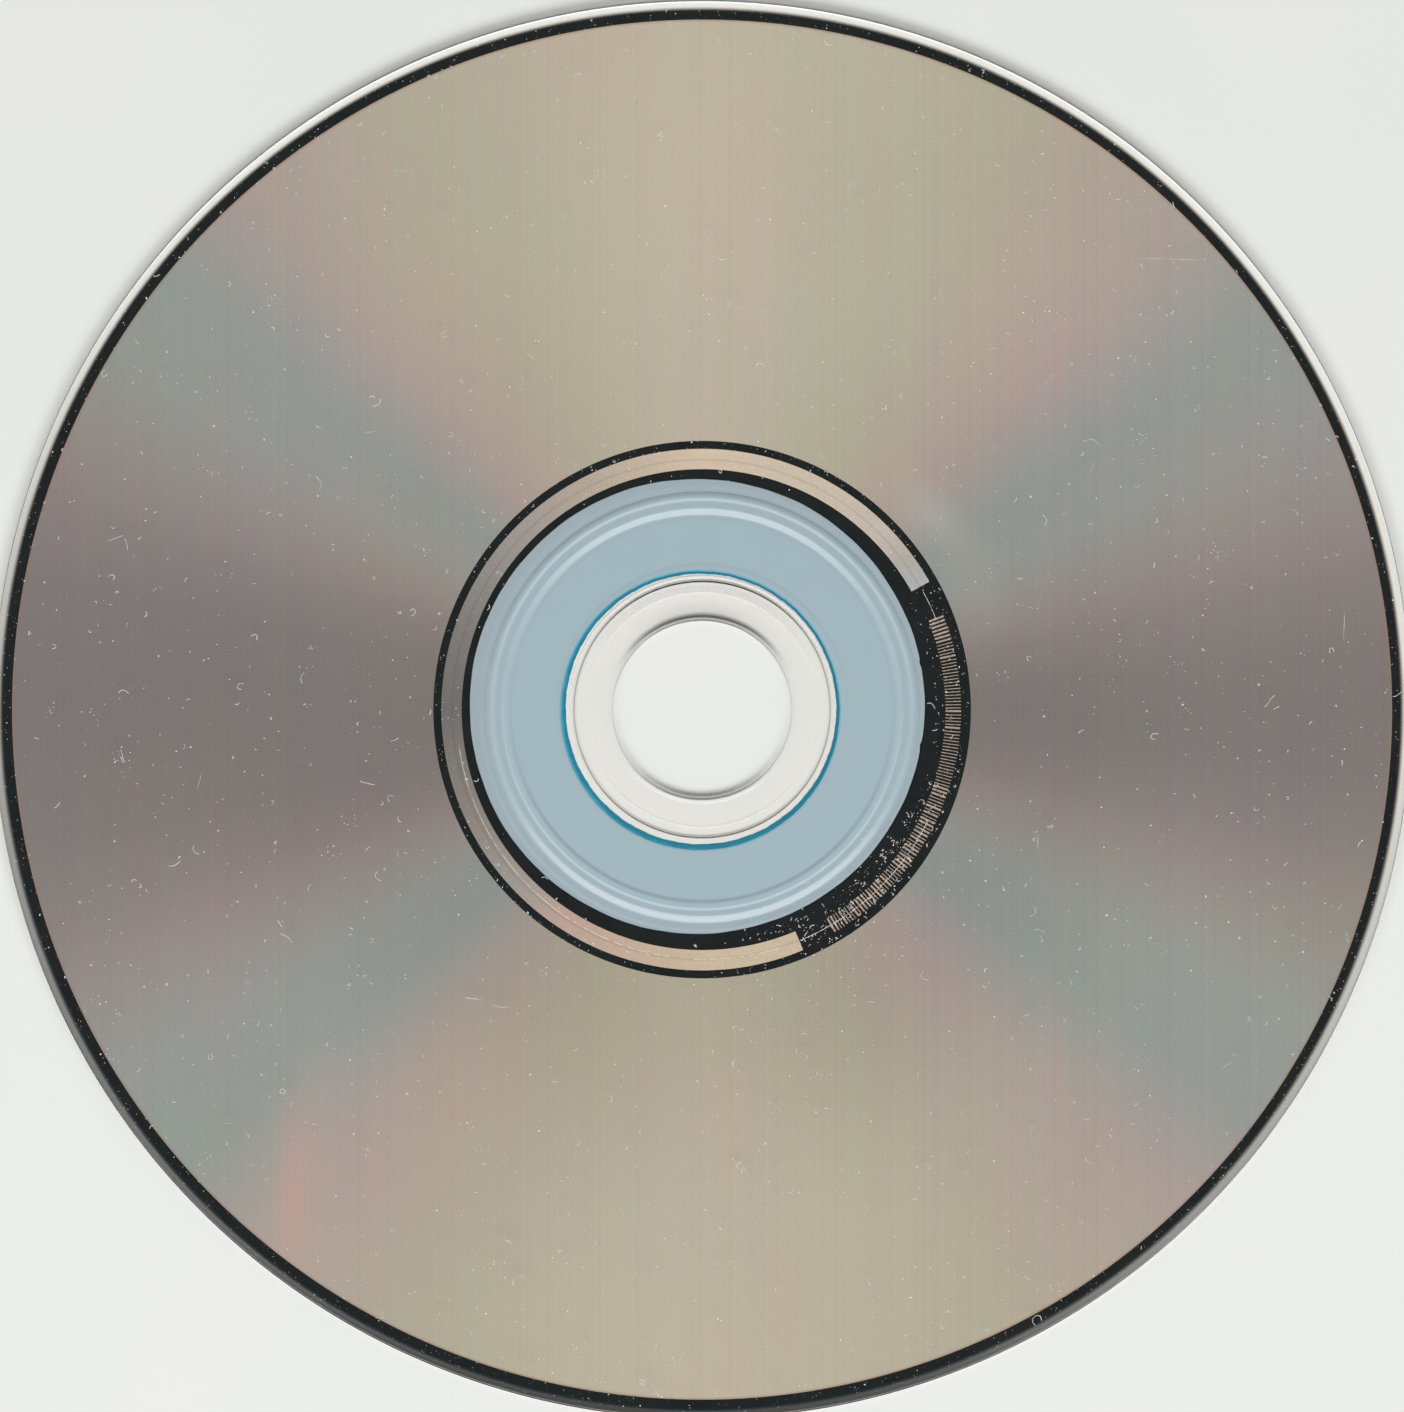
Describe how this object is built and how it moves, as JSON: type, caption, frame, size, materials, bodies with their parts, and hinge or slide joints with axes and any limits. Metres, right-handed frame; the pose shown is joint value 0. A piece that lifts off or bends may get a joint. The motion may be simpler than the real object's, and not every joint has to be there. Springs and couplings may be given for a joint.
{
  "type": "compact disc",
  "caption": "Round clear plastic data disc with a centre hole, a reflective film that is read from above, mirror and matte rings and a pale blue hub, lying on its printed label side.",
  "frame": {"origin": "on the axis of the centre hole, level with the disc's lowest face, which is its printed label face", "axes": "+Z along the centre hole's axis, up out of the read side; -Y towards the bottom edge of the picture and +X to its right"},
  "size_m": [0.12, 0.12, 0.0015],
  "materials": {
    "clear_polycarbonate": "gloss",
    "aluminium_film": "polished",
    "clear_lacquer": "gloss",
    "white_ink": "satin",
    "blue_ink": "satin"
  },
  "bodies": {
    "root": {"polycarbonate_disc": "clear_polycarbonate", "reflective_film": "aluminium_film", "protective_lacquer": "clear_lacquer", "white_label_ink": "white_ink", "blue_label_ink": "blue_ink"}
  },
  "joints": []
}
